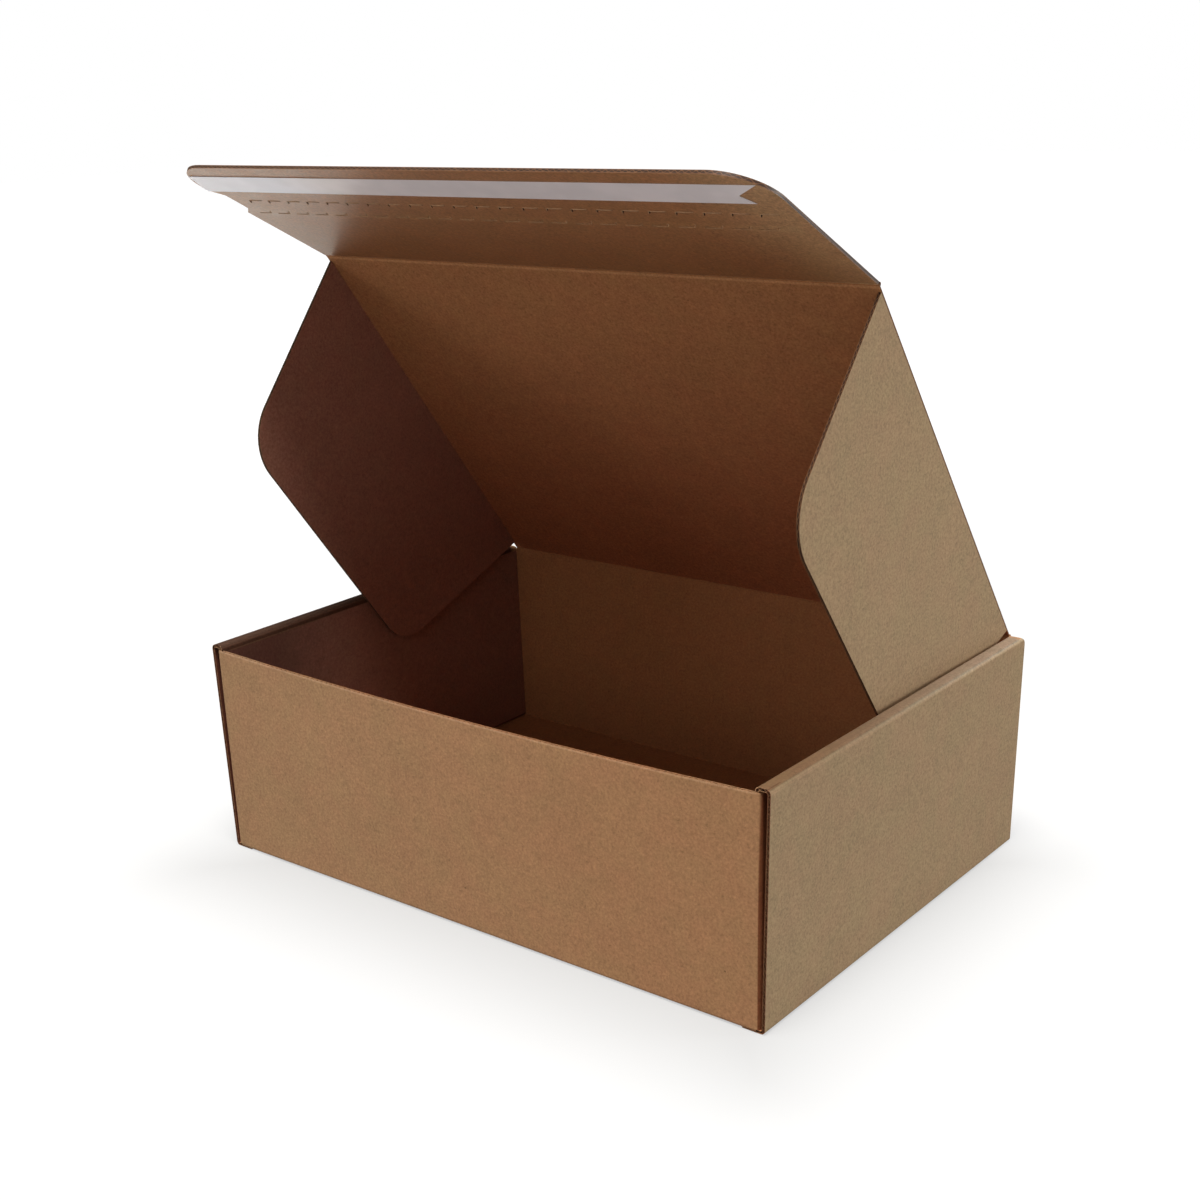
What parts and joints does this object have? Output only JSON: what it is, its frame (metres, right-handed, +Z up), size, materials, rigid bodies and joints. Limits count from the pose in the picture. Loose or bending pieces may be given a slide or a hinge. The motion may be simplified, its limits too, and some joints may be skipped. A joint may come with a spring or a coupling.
{
  "type": "corrugated mailer box",
  "caption": "Folded corrugated mailer box with roll-over side walls, a hinged lid with side ears, and a closing flap with a tear strip and an adhesive line under its liner.",
  "frame": {"origin": "centre of the underside of the tray's base", "axes": "+Z up; +X along the front wall, to the right seen from the front; the front wall faces -Y and the lid's hinge is at the back, at +Y"},
  "size_m": [0.3262, 0.2232, 0.3356],
  "materials": {
    "tray_board": "matte kraft",
    "lid_board": "matte kraft",
    "left_ear_board": "matte kraft",
    "right_ear_board": "matte kraft",
    "flap_board": "matte kraft",
    "adhesive": "glossy",
    "liner_paper": "smooth coated paper"
  },
  "bodies": {
    "tray": {"tray": "tray_board"},
    "lid": {"lid_panel": "lid_board"},
    "left_ear": {"left_ear": "left_ear_board"},
    "right_ear": {"right_ear": "right_ear_board"},
    "flap": {"front_flap": "flap_board", "adhesive_strip": "adhesive", "release_liner": "liner_paper"}
  },
  "joints": [
    {"name": "lid_hinge", "type": "hinge", "parent": "tray", "child": "lid", "pos_m": [0, 0.11075, 0.10605], "axis": [-1, 0, 0], "range_deg": [-54, 126]},
    {"name": "flap_crease", "type": "hinge", "parent": "lid", "child": "flap", "pos_m": [0, -0.02074, 0.28703], "axis": [1, 0, 0], "range_deg": [-26, 64]},
    {"name": "left_ear_crease", "type": "hinge", "parent": "lid", "child": "left_ear", "pos_m": [-0.154, 0.1101, 0.10558], "axis": [0, -0.5878, 0.809], "range_deg": [0, 86]},
    {"name": "right_ear_crease", "type": "hinge", "parent": "lid", "child": "right_ear", "pos_m": [0.154, 0.1101, 0.10558], "axis": [0, 0.5878, -0.809], "range_deg": [0, 86]}
  ]
}
